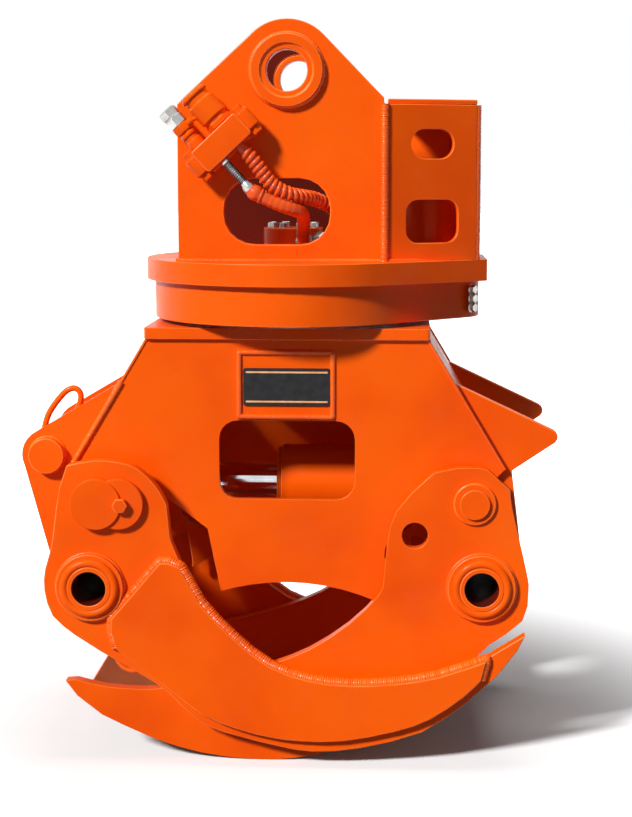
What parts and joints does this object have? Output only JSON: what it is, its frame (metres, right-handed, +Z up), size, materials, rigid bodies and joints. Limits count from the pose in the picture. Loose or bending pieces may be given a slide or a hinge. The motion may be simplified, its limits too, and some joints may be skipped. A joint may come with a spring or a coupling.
{
  "type": "log grapple",
  "caption": "Hydraulic log grapple with a two-eared headstock, geared rotator, window-framed body and two crossing crescent jaws.",
  "frame": {"origin": "ground point under the slew axis, at the bottom centre of the object's box, with the jaws closed", "axes": "+Z up along the slew axis, +X to the right seen from the badge side, towards the slew motor guard, -Y out of the badge side"},
  "size_m": [0.8599, 0.486, 1.1808],
  "materials": {
    "orange_paint": "glossy sprayed orange enamel over welded steel plate",
    "machined_steel": "machined steel, lightly greased",
    "bright_steel": "zinc-bright hydraulic fitting",
    "chrome_rod": "hard chrome cylinder rod",
    "black_badge": "bare satin black plate",
    "painted_hose": "spiral-wrapped hydraulic hose, overpainted orange"
  },
  "bodies": {
    "headstock": {"head_flange": "orange_paint", "front_ear": "orange_paint", "back_ear": "orange_paint", "front_head_bush": "orange_paint", "back_head_bush": "orange_paint", "guard_front_panel": "orange_paint", "guard_back_panel": "orange_paint", "guard_end_panel": "orange_paint", "guard_lid": "orange_paint", "slew_housing": "orange_paint", "slew_motor": "orange_paint", "swivel_body": "orange_paint", "manifold_foot": "orange_paint", "manifold_block": "orange_paint", "relief_valve": "orange_paint", "port_fitting": "bright_steel", "left_hose": "painted_hose", "right_hose": "painted_hose", "inner_race": "machined_steel"},
    "lower_frame": {"race_cage": "machined_steel", "ring_gear": "machined_steel", "gear_spacer": "machined_steel", "swivel_spool": "machined_steel", "frame_top_plate": "orange_paint", "frame_front_plate": "orange_paint", "frame_back_plate": "orange_paint", "frame_left_side_plate": "orange_paint", "frame_right_side_plate": "orange_paint", "left_front_wing": "orange_paint", "left_back_wing": "orange_paint", "right_front_wing": "orange_paint", "right_back_wing": "orange_paint", "left_wing_pin": "orange_paint", "left_pivot_pin": "orange_paint", "right_pivot_pin": "orange_paint", "badge_plate": "black_badge"},
    "pinion": {"pinion_gear": "machined_steel", "pinion_shaft": "machined_steel"},
    "left_jaw": {"left_jaw_front_plate": "orange_paint", "left_jaw_back_plate": "orange_paint", "left_jaw_front_cheek": "orange_paint", "left_jaw_back_cheek": "orange_paint", "left_jaw_front_boss": "orange_paint", "left_jaw_back_boss": "orange_paint", "left_jaw_torque_tube": "orange_paint", "left_cylinder_pin": "orange_paint", "pin_flag_head": "orange_paint", "keeper_bolt": "orange_paint"},
    "right_jaw": {"right_jaw_front_plate": "orange_paint", "right_jaw_back_plate": "orange_paint", "right_jaw_front_boss": "orange_paint", "right_jaw_back_boss": "orange_paint", "right_jaw_floor": "orange_paint", "right_cylinder_pin": "orange_paint"},
    "cylinder_barrel": {"barrel_eye": "orange_paint", "barrel_tube": "orange_paint", "barrel_gland": "orange_paint"},
    "cylinder_rod_assembly": {"rod_eye": "orange_paint", "cylinder_rod": "chrome_rod", "piston": "machined_steel"}
  },
  "joints": [
    {"name": "rotator_spin", "type": "hinge", "parent": "headstock", "child": "lower_frame", "pos_m": [0, 0, 0.73], "axis": [0, 0, 1], "continuous": true},
    {"name": "pinion_spin", "type": "hinge", "parent": "headstock", "child": "pinion", "pos_m": [0.225, 0, 0.73], "axis": [0, 0, 1], "continuous": true},
    {"name": "left_jaw_hinge", "type": "hinge", "parent": "lower_frame", "child": "left_jaw", "pos_m": [-0.31, 0, 0.2886], "axis": [0, 1, 0], "range_deg": [0, 65]},
    {"name": "right_jaw_hinge", "type": "hinge", "parent": "lower_frame", "child": "right_jaw", "pos_m": [0.31, 0, 0.2886], "axis": [0, -1, 0], "range_deg": [0, 65]},
    {"name": "rod_hinge", "type": "hinge", "parent": "left_jaw", "child": "cylinder_rod_assembly", "pos_m": [-0.298, 0, 0.4236], "axis": [0, -1, 0], "range_deg": [0, 65]},
    {"name": "barrel_hinge", "type": "hinge", "parent": "right_jaw", "child": "cylinder_barrel", "pos_m": [0.298, 0, 0.4236], "axis": [0, 1, 0], "range_deg": [0, 65]}
  ],
  "couplings": [
    {"joint": "pinion_spin", "follows": "rotator_spin", "ratio": -4},
    {"joint": "right_jaw_hinge", "follows": "left_jaw_hinge", "ratio": 1},
    {"joint": "rod_hinge", "follows": "left_jaw_hinge", "ratio": 1},
    {"joint": "barrel_hinge", "follows": "left_jaw_hinge", "ratio": 1}
  ]
}
